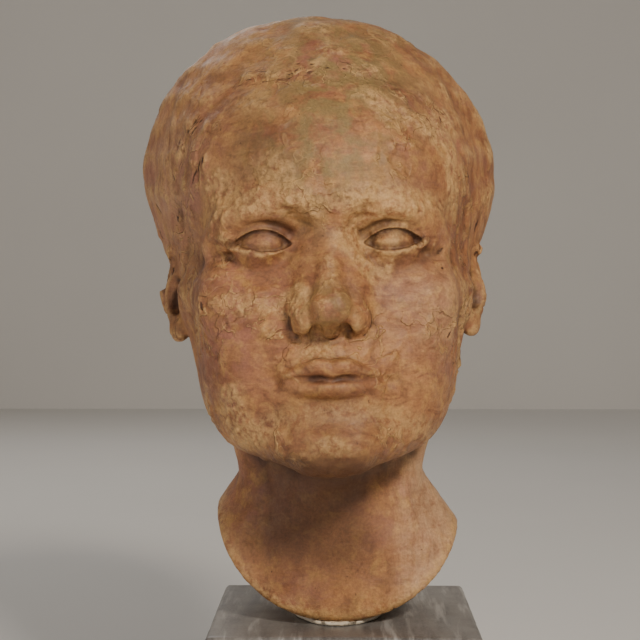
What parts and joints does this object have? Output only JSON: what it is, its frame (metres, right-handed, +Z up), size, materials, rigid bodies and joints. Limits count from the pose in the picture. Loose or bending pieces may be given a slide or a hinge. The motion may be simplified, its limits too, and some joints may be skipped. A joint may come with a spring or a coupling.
{
  "type": "portrait head on block",
  "caption": "Life-size modelled clay head with plain idealised face and close cap of hair, neck cut to a rounded bowl and bedded in plaster on a marble block",
  "frame": {"origin": "middle of the underside of the felt, on the surface that the object stands on", "axes": "+Z up, -Y the way the face looks, +X to the right of someone looking at the face"},
  "size_m": [0.1977, 0.237, 0.415],
  "materials": {
    "clay": "fired clay with a blotched brown, ochre and mauve patina",
    "casting_plaster": "cast plaster, matt",
    "bedding_plaster": "white plaster, smeared by hand",
    "marble": "honed grey veined marble",
    "zinc_steel": "bright zinc plate",
    "felt": "dark green wool felt"
  },
  "bodies": {
    "root": {"head": "clay", "neck_plug": "casting_plaster", "bedding_collar": "bedding_plaster", "marble_block": "marble", "tie_rod": "zinc_steel", "anchor_washer": "zinc_steel", "anchor_nut": "zinc_steel", "base_washer": "zinc_steel", "base_nut": "zinc_steel", "felt_sheet": "felt"}
  },
  "joints": []
}
